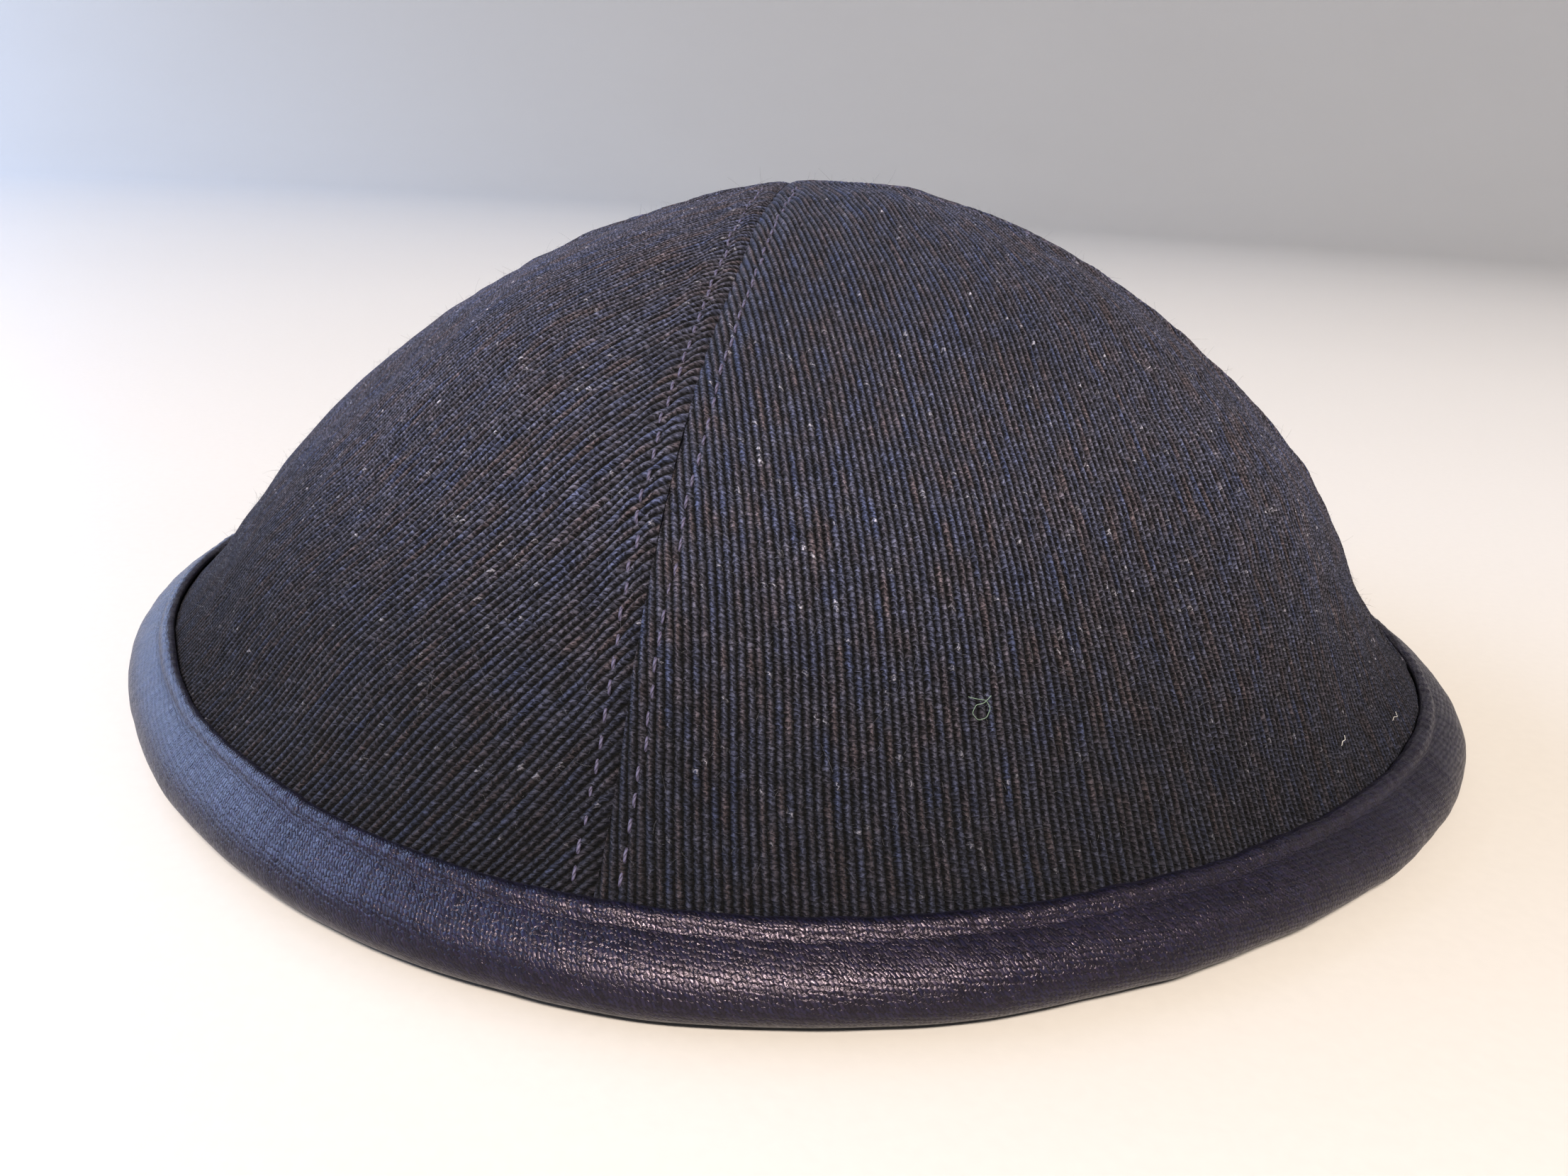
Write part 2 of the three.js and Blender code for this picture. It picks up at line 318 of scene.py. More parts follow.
def rib_lean(index, x, up):
    """How far the ribs of a gore lean from its centre line at a flat point, in degrees. The front
    ones bend where the cloth is drawn in round the waist."""
    height = np.interp(up, TABLE_UP, TABLE_POINT[:, 1])
    lean = RIB_LEANS[index]
    if QUARTERS[index] == "front_right":
        bend = RIGHT_BEND["all"] + RIGHT_BEND["middle"] * bell(x, RIGHT_BEND["middle_width"])
        lean = lean - bell(height - RIGHT_BEND["height"], RIGHT_BEND["spread"]) * bend
    if QUARTERS[index] == "front_left":
        from_seam = 1 - np.exp(-np.maximum(half_width(up) - x, 0) / LEFT_BEND_REACH)
        bends = sum(bend * bell(height - at, spread) for bend, at, spread in LEFT_BENDS)
        lean = lean + from_seam * bends
    return lean + 0 * x


def rib_starts(index, base):
    """Rib offsets, and the flat x of each rib line at the base height."""
    reach = np.linspace(-GORE_WIDTH, GORE_WIDTH, RIB_TRACES)
    radius = np.interp(base, TABLE_UP, TABLE_POINT[:, 0])
    narrowing = -np.interp(base, TABLE_UP, np.gradient(TABLE_POINT[:, 0], TABLE_UP))
    lean = np.tan(np.radians(rib_lean(index, reach, base)))
    turn = np.arctan(lean + reach / radius * narrowing)
    along = np.concatenate([[0], np.cumsum(np.cos(turn[1:]) * np.diff(reach))])
    along -= np.interp(0, reach, along)
    spacing = RIB_PITCH / RIB_SAMPLES
    offsets = np.arange(math.ceil(along[0] / spacing), math.floor(along[-1] / spacing)) * spacing
    return offsets, np.interp(offsets, along, reach)


def rib_lines(index):
    """Rib offsets, flat heights, and the flat x of each rib line at each height."""
    levels = np.arange(0, GORE_LENGTH, LEVEL_STEP)
    base = np.interp(RIB_BASE_HEIGHT, TABLE_POINT[:, 1], TABLE_UP)
    offsets, starts = rib_starts(index, base)
    start = int(round(base / LEVEL_STEP))
    lines = np.zeros((len(offsets), len(levels)))
    lines[:, start] = starts
    for way, order in ((1, range(start, len(levels) - 1)), (-1, range(start, 0, -1))):
        for level in order:
            slope = np.tan(np.radians(rib_lean(index, lines[:, level], levels[level])))
            lines[:, level + way] = lines[:, level] + way * LEVEL_STEP * slope
    return offsets, levels, lines


def clipped_ribs(index):
    """The rib lines that cross a gore, and the heights where each enters and leaves its outline."""
    offsets, levels, lines = rib_lines(index)
    beyond = np.abs(lines) - half_width(levels)
    kept = (beyond < 0).sum(1) > 1
    offsets, lines, beyond = offsets[kept], lines[kept], beyond[kept]
    row = np.arange(len(offsets))
    first = (beyond < 0).argmax(1)
    last = len(levels) - 1 - (beyond[:, ::-1] < 0).argmax(1)
    before, after = np.maximum(first - 1, 0), np.minimum(last + 1, len(levels) - 1)

    def crossing(inner, outer):
        gap = beyond[row, outer] - beyond[row, inner]
        share = np.where(outer == inner, 0, -beyond[row, inner] / np.where(gap == 0, 1, gap))
        return levels[inner] + share * (levels[outer] - levels[inner])

    return offsets, levels, lines, crossing(first, before), crossing(last, after)


def calm_depth(x, up, points, index):
    """Depth of a gore's valleys: the pressed-open allowance, the crease, the stitch channel and
    soft dents."""
    seed = DENT_SEED + DENT_SEED_STEP * index
    away = seam_distance(x, up)
    edge = np.clip((ALLOWANCE["width"] - away) / ALLOWANCE["slope"], 0, 1)
    allowance = ALLOWANCE["rise"] * edge * edge * (3 - 2 * edge)
    near = (np.maximum(away, 0) / CREASE["spread"]) ** CREASE["power"]
    crease = CREASE["depth"] * np.exp(-near)
    pull = 1 + CHANNEL["pull"] * np.sin(2 * math.pi * up / TOPSTITCH["pitch"])
    channel = CHANNEL["depth"] * bell(away - STITCH_OFFSET, CHANNEL["spread"]) * pull
    settle = np.clip((up - CALM_FOOT["start"]) / CALM_FOOT["width"], 0, 1)
    settle = settle * np.clip((GORE_LENGTH - up) / CALM_CROWN, 0, 1)
    dents = sum(depth * ripple(points, apart, seed + i) for i, (depth, apart) in enumerate(DENTS))
    pucker = PUCKER["depth"] * ripple(points, PUCKER["apart"], seed + len(DENTS))
    pucker = pucker * bell(away, PUCKER["reach"])
    return CLOTH_DEPTH - allowance + crease + channel + settle * (dents + pucker)


# ---------------------------------------------------------------- mesh helpers

def build_mesh(name, points, faces, uvs=None):
    """A mesh object from points in millimetres, quads or triangles, and one (u, v) per point."""
    mesh = bpy.data.meshes.new(name)
    corners = faces.shape[1]
    mesh.vertices.add(len(points))
    mesh.vertices.foreach_set("co", (points * MM).astype(np.float32).ravel())
    mesh.loops.add(faces.size)
    mesh.loops.foreach_set("vertex_index", faces.astype(np.int32).ravel())
    mesh.polygons.add(len(faces))
    starts = np.arange(0, faces.size, corners, dtype=np.int32)
    mesh.polygons.foreach_set("loop_start", starts)
    mesh.polygons.foreach_set("use_smooth", np.ones(len(faces), bool))
    if uvs is not None:
        layer = mesh.uv_layers.new(name="cloth")
        layer.data.foreach_set("uv", uvs[faces.ravel()].astype(np.float32).ravel())
    mesh.update()
    mesh.validate()
    made = bpy.data.objects.new(name, mesh)
    bpy.context.scene.collection.objects.link(made)
    return made


def grid_faces(columns, rows, wrap_columns=False, wrap_rows=False):
    """Quads of a grid whose point (column, row) has index column * rows + row."""
    column = np.arange(columns if wrap_columns else columns - 1)
    row = np.arange(rows if wrap_rows else rows - 1)
    c, r = np.meshgrid(column, row, indexing="ij")
    c2, r2 = (c + 1) % columns, (r + 1) % rows
    quads = np.stack([c * rows + r, c2 * rows + r, c2 * rows + r2, c * rows + r2], -1)
    return quads.reshape(-1, 4)


def repeated(faces, count, size):
    """The faces of one body of so many points, for each of count such bodies."""
    return (faces[None] + np.arange(count)[:, None, None] * size).reshape(-1, faces.shape[1])


def rings_round(line, side, over, radius, sides):
    """Points round a line. side and over are the directions across it."""
    angle = np.arange(sides) / sides * 2 * math.pi
    ring = side[..., None, :] * np.cos(angle)[:, None]
    ring = ring + over[..., None, :] * np.sin(angle)[:, None]
    return line[..., None, :] + ring * np.asarray(radius)[..., None, None]


def thread_faces(rings):
    """Quads of a closed eight-sided tube."""
    sides = grid_faces(rings, THREAD_SIDES, wrap_rows=True)
    last = (rings - 1) * THREAD_SIDES
    return np.concatenate([sides, THREAD_CAP[:, ::-1], THREAD_CAP + last])


def finish_piece(piece, material, slot, *nodes):
    piece.data.materials.append(material)
    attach(piece, "root")
    if nodes:
        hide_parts(*nodes)
    return piece


# ---------------------------------------------------------------- materials

class Nodes:
    """A node material under construction: numbers, tuples and sockets all link the same way."""

    def __init__(self, name):
        self.material = bpy.data.materials.new(name)
        self.material.use_nodes = True
        self.tree = self.material.node_tree
        self.tree.nodes.clear()

    def node(self, kind, inputs=(), **settings):
        made = self.tree.nodes.new("ShaderNode" + kind)
        for key, value in settings.items():
            setattr(made, key, value)
        for key, value in dict(inputs).items():
            self.join(value, made.inputs[key])
        return made

    def join(self, value, socket):
        if isinstance(value, bpy.types.NodeSocket):
            self.tree.links.new(value, socket)
        elif isinstance(value, (tuple, list)) and len(value) == 3 and socket.type == "RGBA":
            socket.default_value = (*value, 1)
        else:
            socket.default_value = value

    def math(self, operation, *values):
        return self.node("Math", dict(enumerate(values)), operation=operation).outputs[0]

    def times(self, first, *factors):
        for factor in factors:
            first = self.math("MULTIPLY", first, factor)
        return first

    def weighted(self, *terms):
        """The sum of (value, weight) terms."""
        total = 0.0
        for value, weight in terms:
            total = self.math("MULTIPLY_ADD", value, weight, total)
        return total

    def between(self, value, low, high):
        """low where the value is 0, and high where it is 1."""
        return self.math("MULTIPLY_ADD", value, high - low, low)

    def moved(self, value, noise, reach):
        """The value, moved by up to half the reach either way as the noise says."""
        return self.math("MULTIPLY_ADD", self.math("SUBTRACT", noise, 0.5), reach, value)

    def arch(self, value, power):
        """A round hump over each whole number: sin(pi * value) to a power."""
        return self.math("POWER", self.math("SINE", self.times(value, math.pi)), power)

    def vector(self, x=0.0, y=0.0, z=0.0):
        return self.node("CombineXYZ", {0: x, 1: y, 2: z}).outputs[0]

    def split(self, vector):
        return self.node("SeparateXYZ", {0: vector}).outputs

    def uv(self):
        return self.split(self.node("UVMap", uv_map="cloth").outputs[0])

    def position(self):
        return self.node("TexCoord").outputs["Object"]

    def noise(self, vector, scale=1.0, detail=2.0):
        inputs = {"Vector": vector, "Scale": scale, "Detail": detail}
        return self.node("TexNoise", inputs).outputs[0]

    def grain(self, uv, across, along, detail=2.0):
        """Noise over the cloth, with so many features to a unit across and along it."""
        scaled = self.vector(self.times(uv[0], across), self.times(uv[1], along))
        return self.noise(scaled, 1.0, detail)

    def random(self, vector):
        """Three chances from 0 to 1 for each whole vector."""
        return self.split(self.node("TexWhiteNoise", {"Vector": vector}).outputs[1])

    def ramp(self, value, stops):
        made = self.node("ValToRGB", {0: value})
        ramp = made.color_ramp
        while len(ramp.elements) < len(stops):
            ramp.elements.new(0.5)
        for element, (position, colour) in zip(ramp.elements, stops):
            element.position = position
            element.color = (*colour, 1)
        return made.outputs[0]

    def mix(self, factor, a, b):
        made = self.node("Mix", data_type="RGBA")
        for value, socket in zip((factor, a, b), (made.inputs[0], made.inputs[6], made.inputs[7])):
            self.join(value, socket)
        return made.outputs[2]

    def scaled(self, colour, factor):
        """The colour times a number."""
        made = self.node("VectorMath", {0: colour}, operation="SCALE")
        self.join(factor, made.inputs["Scale"])
        return made.outputs[0]

    def cloth(self, colour, roughness, height, relief, **fixed):
        """The surface, with its relief in mm. fixed holds the shader's own plain values."""
        bump = self.node("Bump", {"Height": height, "Distance": relief * MM})
        inputs = {"Base Color": colour, "Roughness": roughness, "Normal": bump.outputs[0]}
        inputs.update((key.replace("_", " "), value) for key, value in fixed.items())
        shader = self.node("BsdfPrincipled", inputs)
        output = self.node("OutputMaterial", {"Surface": shader.outputs[0]})
        output.is_active_output = True


def suiting_material():
    """Knobs of twisted yarn along each rib, of mixed navy and brown fibres. Painted shade darkens the
    gaps between ribs and between knobs; painted shade also darkens the cloth towards the rim, and
    painted light lightens it towards the crown."""
    knobs_per_mm = 2.0
    knob_slant = 0.9
    speck_chance = 0.985
    speck_share = 0.6
    # Painted shade and light by height: the colour darkens towards the rim and lightens towards the
    # crown.
    painted_shade_by_height = {"From Min": 0.006, "From Max": 0.040, "To Min": 0.41, "To Max": 1.20}
    n = Nodes("ribbed_suiting")
    uv = n.uv()
    wander = n.grain(uv, 0.6, 0.45)
    ragged = n.grain(uv, 1.3, 3.1)
    across = n.moved(n.moved(uv[0], wander, 0.20), ragged, 0.85)
    rib = n.math("FLOOR", across)
    side = n.math("FRACT", across)
    row_shift = n.times(n.node("TexWhiteNoise", {"Vector": n.vector(rib, 3.0)}).outputs[0], 9.0)
    lean = n.times(n.math("SUBTRACT", side, 0.5), knob_slant)
    along = n.math("MULTIPLY_ADD", uv[1], knobs_per_mm, n.math("ADD", lean, row_shift))
    along = n.moved(n.moved(along, wander, 1.6), ragged, 1.3)
    knob = n.math("FLOOR", along)
    chance = n.random(n.vector(rib, knob, 1.0))
    ridge = n.arch(side, 2.0)
    lump = n.arch(n.math("FRACT", along), 0.9)
    strands = n.noise(n.vector(n.times(along, 3.0), n.times(side, 4.0), rib), 1.0, 4.0)
    broad = n.noise(n.position(), 45.0, 3.0)
    patch = n.noise(n.vector(n.times(rib, 1.7), n.times(uv[1], 0.16)))
    hue = n.ramp(patch, [(0.30, SUITING_BLUE), (0.50, SUITING_GREY), (0.66, SUITING_BROWN)])
    speck = n.times(n.math("GREATER_THAN", chance[0], speck_chance),
                    n.math("GREATER_THAN", strands, 0.5), speck_share)
    hue = n.mix(speck, hue, SUITING_SPECK)
    # Painted shade low on the wall and painted light near the crown.
    height_above = {"Value": n.split(n.position())[2], **painted_shade_by_height}
    height_shading = n.node("MapRange", height_above, interpolation_type="SMOOTHSTEP").outputs[0]
    # Painted shade: the colour goes dark in the gaps between ribs and between knobs.
    tone = n.times(n.times(ridge, 2.05), n.between(lump, 0.28, 1.18),
                   n.between(chance[1], 0.72, 1.28), n.between(strands, -0.50, 2.50),
                   n.between(broad, 0.7, 1.3), height_shading)
    height = n.weighted((lump, 0.7), (ridge, 0.4), (strands, 0.5))
    n.cloth(n.scaled(hue, tone), 0.78, height, 0.22, Sheen_Weight=0.04, Sheen_Roughness=0.45,
            Sheen_Tint=(0.66, 0.74, 1.0), Specular_IOR_Level=0.20)
    return n.material


def satin_material():
    """Bias-cut satin: slanted floats, staggered thread by thread, with painted shade darkening the
    colour between the floats and towards their ends.
    """
    thread = 0.29
    float_length = 0.85
    stagger = 0.4
    bias = math.radians(47)
    n = Nodes("binding_satin")
    uv = n.uv()
    wander = n.grain(uv, 0.25, 0.25)
    ragged = n.grain(uv, 1.9, 1.9, 3.0)
    run = n.weighted((uv[1], math.sin(bias)), (uv[0], math.cos(bias)))
    rise = n.weighted((uv[0], -math.sin(bias)), (uv[1], math.cos(bias)))
    rise = n.moved(n.moved(rise, wander, 1.0), ragged, 0.40)
    count = n.math("DIVIDE", rise, thread)
    yarn = n.math("FLOOR", count)
    across = n.math("FRACT", count)
    along = n.math("MULTIPLY_ADD", yarn, stagger, n.math("DIVIDE", run, float_length))
    along = n.moved(along, ragged, 1.2)
    part = n.math("FRACT", along)
    chance = n.random(n.vector(yarn, n.math("FLOOR", along)))
    painted_float_shade = n.times(n.arch(across, 0.6), n.arch(part, 0.6))
    broad = n.noise(n.position(), 60.0, 2.0)
    # Painted shade: the colour darkens between the floats.
    tone = n.times(n.between(painted_float_shade, 0.1, 1.2), n.between(chance[0], 0.5, 1.5),
                   n.between(broad, 0.75, 1.25))
    hue = n.mix(chance[1], SATIN_NAVY, SATIN_PLUM)
    tilt = n.times(n.math("SUBTRACT", part, 0.5), n.between(chance[1], -0.3, 0.3))
    height = n.weighted((n.arch(part, 0.8), 1.0), (n.arch(across, 0.7), 0.25), (tilt, 1.0))
    n.cloth(n.scaled(hue, tone), n.between(chance[2], 0.29, 0.41), height, 0.06,
            Specular_IOR_Level=0.72, Specular_Tint=(0.62, 0.54, 0.62),
            Sheen_Weight=0.01, Sheen_Roughness=0.35, Sheen_Tint=(0.62, 0.62, 0.95))
    return n.material


def thread_material(name, colour, sheen):
    """Twisted sewing thread: painted shade darkens the grooves that wind round it."""
    n = Nodes(name)
    uv = n.uv()
    ply = n.arch(n.math("FRACT", n.weighted((uv[0], 2.0), (uv[1], 1.6))), 0.7)
    # Painted shade in the grooves of the twist.
    tone = n.times(n.between(ply, 0.3, 1.1), n.between(n.grain(uv, 9.0, 3.0, 3.0), 0.6, 1.4))
    n.cloth(n.scaled(colour, tone), 0.6, ply, 0.06, Sheen_Weight=sheen, Sheen_Roughness=0.4,
            Specular_IOR_Level=0.4)
    return n.material


def lining_material():
    """Thin satin-weave lining, seen inside the cap, with painted shade between its threads."""
    n = Nodes("lining_cloth")
    uv = n.uv()
    twill = n.arch(n.math("FRACT", n.weighted((uv[1], 1.6), (uv[0], 3.2))), 0.6)
    weave = n.times(twill, n.arch(n.math("FRACT", n.times(uv[1], 2.6)), 0.5))
    slub = n.grain(uv, 0.08, 2.0, 3.0)
    # Painted shade between the threads of the weave.
    tone = n.times(n.between(weave, 0.6, 1.1), n.between(slub, 0.6, 1.4))
    n.cloth(n.scaled(n.mix(slub, LINING_DARK, LINING_LIGHT), tone), 0.42, weave, 0.04,
            Specular_IOR_Level=0.6, Sheen_Weight=0.2, Sheen_Roughness=0.4,
            Sheen_Tint=(0.6, 0.62, 0.9))
    return n.material


def interlining_material():
    """Stiff buckram between the layers: an open plain weave, glazed with size, with painted shade in
    the gaps between its threads.
    """
    threads_per_mm = 1.4
    n = Nodes("interlining")
    uv = n.uv()
    warp, weft = (n.arch(n.math("FRACT", n.times(uv[way], threads_per_mm)), 0.8) for way in (0, 1))
    weave = n.math("MAXIMUM", warp, weft)
    slub = n.grain(uv, 0.5, 0.5, 4.0)
    # Painted shade in the gaps between the threads.
    tone = n.times(n.between(weave, 0.5, 1.0), n.between(slub, 0.75, 1.25))
    n.cloth(n.scaled(n.mix(slub, BUCKRAM_PALE, BUCKRAM_DARK), tone), 0.7, weave, 0.12,
            Specular_IOR_Level=0.3)
    return n.material


def fibre_material(name, colours):
    n = Nodes(name)
    shade = n.noise(n.position(), 900.0, 1.0)
    n.cloth(n.mix(shade, *colours), 0.7, shade, 0.01, Sheen_Weight=0.3, Sheen_Roughness=0.4,
            Specular_IOR_Level=0.3)
    return n.material


def floor_material():
    """Pale matt tabletop with faint specks."""
    n = Nodes("pale_floor")
    colour = n.mix(n.noise(n.position(), 3.0, 3.0), *FLOOR_COLOURS)
    fine = n.noise(n.position(), 700.0, 3.0)
    n.cloth(n.scaled(colour, n.between(fine, 0.975, 1.025)), 0.55, fine, 0.02,
            Specular_IOR_Level=0.35)
    return n.material


# ---------------------------------------------------------------- gores

def rib_grid(index):
    """Rib offsets, and the flat x and height of the mesh points along each rib line. The first and
    last point of a line are folded back under its ends."""
    offsets, levels, lines, low, high = clipped_ribs(index)
    share = 0.5 - 0.5 * np.cos(math.pi * np.arange(ROWS) / (ROWS - 1))
    up = low[:, None] + (high - low)[:, None] * share
    fold = np.minimum(FOLD_WIDTH, (high - low) / 2)
    up = np.concatenate([(low + fold)[:, None], up, (high - fold)[:, None]], 1)
    level = np.clip(up / LEVEL_STEP, 0, len(levels) - LAST_LEVEL_MARGIN)
    under = level.astype(int)
    row = np.arange(len(offsets))[:, None]
    x = lines[row, under] + (lines[row, under + 1] - lines[row, under]) * (level - under)
    return offsets, np.clip(x, -half_width(up), half_width(up)), up


def outer_gore(index, material):
    """One gore of ribbed suiting: its mesh columns follow its ribs from edge to edge of the cut."""
    offsets, x, up = rib_grid(index)
    middle = gore_middle(index)
    calm = gore_point(x, up, 0, middle)
    side = (offsets / RIB_PITCH) % 1
    rib = RIB_HEIGHT * (1 - np.abs(2 * side - 1) ** RIB_ROUNDNESS)
    uneven = RIB_UNEVENNESS["share"] * ripple(calm, RIB_UNEVENNESS["apart"], RIB_SEED + index)
    depth = calm_depth(x, up, calm, index) - rib[:, None] * (1 - uneven)
    depth[:, [0, -1]] = FOLD_DEPTH
    points = gore_point(x, up, depth, middle).reshape(-1, 3)
    across = np.broadcast_to((offsets / RIB_PITCH)[:, None], up.shape)
    uvs = np.stack([across, up], -1).reshape(-1, 2)
    faces = grid_faces(len(offsets), ROWS + 2)
    piece = build_mesh(f"suiting_{QUARTERS[index]}", points, faces, uvs)
    return finish_piece(piece, material, "ribbed_suiting", f"outer_gore_{QUARTERS[index]}")


def shell_faces(columns, rows):
    """Quads of a closed thin shell: a grid, its copy turned over, and walls round their rim."""
    size = columns * rows
    front = grid_faces(columns, rows)
    grid = np.arange(size).reshape(columns, rows)
    rim = np.concatenate([grid[:, 0], grid[-1, 1:], grid[-2::-1, -1], grid[0, -2:0:-1]])
    after = np.roll(rim, -1)
    walls = np.stack([rim, rim + size, after + size, after], -1)
    return np.concatenate([front, front[:, ::-1] + size, walls])


def inner_gore(index, prefix, node, layer, material, slot):
    """A closed thin gore between two depths, a gap short of its seams, with soft wrinkles."""
    columns, rows = layer["grid"]
    up = GORE_LENGTH * np.linspace(0, LAYER_TOP, rows)
    half = np.maximum(half_width(up) - layer["gap"], LAYER_LEAST_HALF)
    x = np.linspace(-1, 1, columns)[:, None] * half[None, :]
    up = np.broadcast_to(up, x.shape)
    middle = gore_middle(index)
    calm = gore_point(x, up, 0, middle)
    settle = np.clip(seam_distance(x, up) / WRINKLE_FREE_SEAM, 0, 1)
    settle = settle * np.clip(up / WRINKLE_FREE_FOOT, 0, 1)
    wrinkle = layer["relief"] * settle * ripples(calm, WRINKLES, index)
    faces = [gore_point(x, up, depth + wrinkle, middle) for depth in layer["depths"]]
    points = np.concatenate([face.reshape(-1, 3) for face in faces])
    uvs = np.tile(np.stack([x, up], -1).reshape(-1, 2), (2, 1))
    piece = build_mesh(f"{prefix}_{QUARTERS[index]}", points, shell_faces(columns, rows), uvs)
    return finish_piece(piece, material, slot, f"{node}_{QUARTERS[index]}")


# ---------------------------------------------------------------- threads

def stitches(name, starts, ends, normals, kind, material, slot, *nodes):
    """Separate arched stitches, each from a start to an end point, standing along a normal."""
    count = len(starts)
    share = np.linspace(0, 1, THREAD_RINGS)
    arch = np.sin(math.pi * share) ** STITCH_ARCH
    height = kind["lift"] * arch - kind["sink"]
    wobble = rng.normal(0, STITCH_WOBBLE, (count, 1, 3)) * arch[None, :, None]
    sunk = np.abs(rng.normal(0, STITCH_SINKING, (count, 1, 1)))
    line = starts[:, None] + (ends - starts)[:, None] * share[None, :, None]
    line = line + normals[:, None] * (height[None, :, None] - sunk) + wobble
    tangent = unit(np.gradient(line, axis=1))
    sideways = unit(np.cross(tangent, normals[:, None]))
    upright = np.cross(sideways, tangent)
    variation = 1 + rng.normal(0, STITCH_VARIATION, (count, 1))
    radius = kind["radius"] * (1 - STITCH_THINNING + STITCH_THINNING * arch) * variation
    radius[:, [0, -1]] *= STITCH_TIP
    points = rings_round(line, sideways, upright, radius, THREAD_SIDES)
    turn = np.arange(THREAD_SIDES) / THREAD_SIDES
    along = share * kind["length"]
    uvs = np.stack(np.broadcast_arrays(turn[None, :], along[:, None]), -1)
    uvs = np.tile(uvs.reshape(-1, 2), (count, 1))
    each = THREAD_RINGS * THREAD_SIDES
    uvs[:, 1] += np.repeat(rng.uniform(0, STITCH_UV_SHIFT, count), each)
    faces = repeated(thread_faces(THREAD_RINGS), count, each)
    piece = build_mesh(name, points.reshape(-1, 3), faces, uvs)
    return finish_piece(piece, material, slot, *nodes)


def normals_of(function, *values):
    """Outward unit normals of a surface given as function(..., depth)."""
    return unit(function(*values, -0.5) - function(*values, 0.5))


def gore_normals(x, up, middle):
    return normals_of(lambda x, up, depth: gore_point(x, up, depth, middle), x, up)


def topstitches(index, way, material):
    """One row of stitches beside a seam. way is 1 on the anticlockwise side, and -1 on the other."""
    gore = index if way > 0 else (index - 1) % SEAMS
    middle = gore_middle(gore)
    end = np.interp(SEAM_STITCH_END, TABLE_POINT[::-1, 0], TABLE_UP[::-1])
    centres = np.arange(SEAM_STITCH_START, end, TOPSTITCH["pitch"])
    centres = centres + rng.normal(0, STITCH_SCATTER["along"], len(centres))
    offset = STITCH_OFFSET + rng.normal(0, STITCH_SCATTER["across"], len(centres))

    def beside_seam(up):
        return -way * (half_width(up) - offset / np.interp(up, TABLE_UP, TABLE_SLANT))

    def on_cloth(up):
        x = beside_seam(up)
        depth = calm_depth(x, up, gore_point(x, up, 0, middle), gore) - RIB_HEIGHT
        return gore_point(x, up, depth, middle)

    reach = TOPSTITCH["length"] / 2
    normals = gore_normals(beside_seam(centres), centres, middle)
    side = "anticlockwise" if way > 0 else "clockwise"
    return stitches(f"topstitches_{SIDES[index]}_{side}", on_cloth(centres - reach),
                    on_cloth(centres + reach), normals, TOPSTITCH, material, "topstitch_thread",
                    f"topstitch_{SIDES[index]}_{side}")


def joining_stitches(index, layer, depth, material):
    """The hidden stitches that join two gores of a layer under their seam."""
    seam = FIRST_SEAM + SEAM_TURN * index
    reach = JOIN_STITCH["length"] / 2
    centres = np.arange(JOIN_MARGIN, GORE_LENGTH - JOIN_MARGIN, JOIN_STITCH["pitch"])
    starts, middle, ends = (np.interp(centres + way * reach, TABLE_UP, TABLE_STEP)
                            for way in (-1, 0, 1))
    normals = normals_of(lambda step, depth: wall_point(step, depth, seam), middle)
    return stitches(f"{layer}_join_stitches_{SIDES[index]}", wall_point(starts, depth, seam),
                    wall_point(ends, depth, seam), normals, JOIN_STITCH, material,
                    "sewing_thread", f"{layer}_seam_thread_{SIDES[index]}")


# ---------------------------------------------------------------- binding

def on_wall(step, out):
    """A section point outside the wall's outer face."""
    return tuple(wall(step, -out, 0, swells=()))


SECTION = [
    on_wall(0.8630, -0.25), on_wall(0.8575, 0.05), on_wall(0.8575, 0.65), on_wall(0.8620, 1.08),
    on_wall(0.8695, 1.10), on_wall(0.8755, 0.84), on_wall(0.8800, 0.58),
    (86.2, 7.0), (87.15, 6.62), (88.2, 5.95), (89.1, 5.0), (89.65, 3.85), (89.75, 2.75),
    (89.35, 1.75), (88.6, 0.9), (87.6, 0.3), (86.4, 0.0), (85.0, 0.0), (83.7, 0.25), (82.75, 1.0),
    (82.2, 2.1), (82.05, 3.2), (81.95, 4.3), (81.8, 5.2), (81.45, 5.6), (80.85, 5.8), (80.45, 6.22),
    (80.65, 6.62), (81.2, 6.62), (81.9, 5.97),
    (84.1, 3.3), (85.4, 2.6), (86.9, 3.0), (87.2, 4.0), (86.2, 5.4), (84.75, 7.0),
]
GROOVE_KEY = 6
INNER_GROOVE_KEY = 23
HIDDEN_KEY = 26  # from here the section runs back between the cap's layers


def smooth_loop(keys, count):
    """A closed Catmull-Rom curve through the keys: its points, their key numbers and distances."""
    keys = np.array(keys, float)
    size = len(keys)
    gaps = np.linalg.norm(np.roll(keys, -1, 0) - keys, axis=1)
    reach = np.concatenate([[0], np.cumsum(gaps)])
    at = np.linspace(0, reach[-1], count, endpoint=False)
    where = np.interp(at, reach, np.arange(size + 1))
    index = np.floor(where).astype(int)
    t = (where - index)[:, None]
    p0, p1, p2, p3 = (keys[(index + shift) % size] for shift in (-1, 0, 1, 2))
    curve = 0.5 * (2 * p1 + (p2 - p0) * t + (2 * p0 - 5 * p1 + 4 * p2 - p3) * t ** 2
                   + (3 * p1 - p0 - 3 * p2 + p3) * t ** 3)
    return curve, where, at


